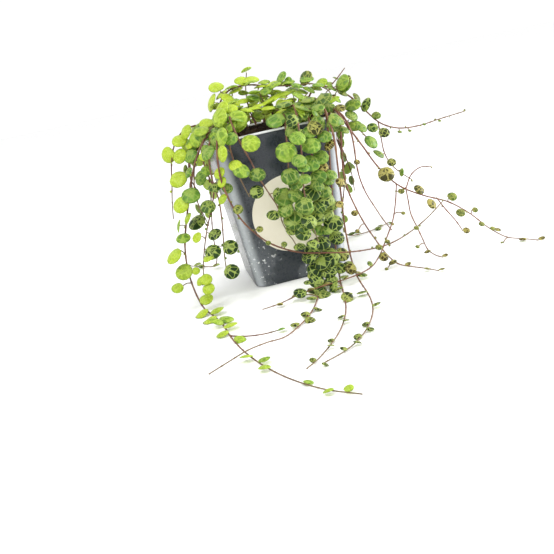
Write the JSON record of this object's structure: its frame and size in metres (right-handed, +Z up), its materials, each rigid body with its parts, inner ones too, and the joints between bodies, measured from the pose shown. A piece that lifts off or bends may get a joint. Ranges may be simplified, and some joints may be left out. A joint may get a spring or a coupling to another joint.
{
  "type": "potted string of turtles plant",
  "caption": "Trailing succulent house plant with small round patterned leaves on thin stems, growing in a tapered square plastic pot with a bare round paper label",
  "frame": {"origin": "middle of the pot's flat base, on the surface that the pot stands on", "axes": "+Z up out of the pot, -Y out of the side with the label, +X to the right when facing the label"},
  "size_m": [0.241, 0.3932, 0.1492],
  "materials": {
    "pot_plastic": "glossy smoky slate grey, lightly scuffed",
    "peat": "dark, crumbly, matt peat",
    "label_paper": "cream uncoated paper, unprinted",
    "foliage": "fleshy satin leaves, lime to dark green with pale veins, on thin reddish-brown stems"
  },
  "bodies": {
    "root": {"crown_shoot_1": "foliage", "crown_shoot_10": "foliage", "crown_shoot_11": "foliage", "crown_shoot_2": "foliage", "crown_shoot_3": "foliage", "crown_shoot_4": "foliage", "crown_shoot_5": "foliage", "crown_shoot_6": "foliage", "crown_shoot_7": "foliage", "crown_shoot_8": "foliage", "crown_shoot_9": "foliage", "label": "label_paper", "pot": "pot_plastic", "shoot_top_arch": "foliage", "shoot_top_upright": "foliage", "soil": "peat", "string_back_left_1": "foliage", "string_back_left_2": "foliage", "string_back_middle": "foliage", "string_back_right_1": "foliage", "string_back_right_2": "foliage", "string_centre_left_long": "foliage", "string_centre_long": "foliage", "string_centre_outer": "foliage", "string_centre_right_long": "foliage", "string_corner_left": "foliage", "string_corner_right": "foliage", "string_front_crossing": "foliage", "string_front_left": "foliage", "string_front_left_short": "foliage", "string_front_middle": "foliage", "string_left_corner": "foliage", "string_left_high": "foliage", "string_left_long": "foliage", "string_left_second": "foliage", "string_left_short": "foliage", "string_right_arching": "foliage", "string_right_bundle": "foliage", "string_right_long": "foliage", "string_right_thin": "foliage", "string_right_wall": "foliage", "string_side_left_1": "foliage", "string_side_left_2": "foliage", "string_side_right_1": "foliage", "string_side_right_2": "foliage"}
  },
  "joints": []
}
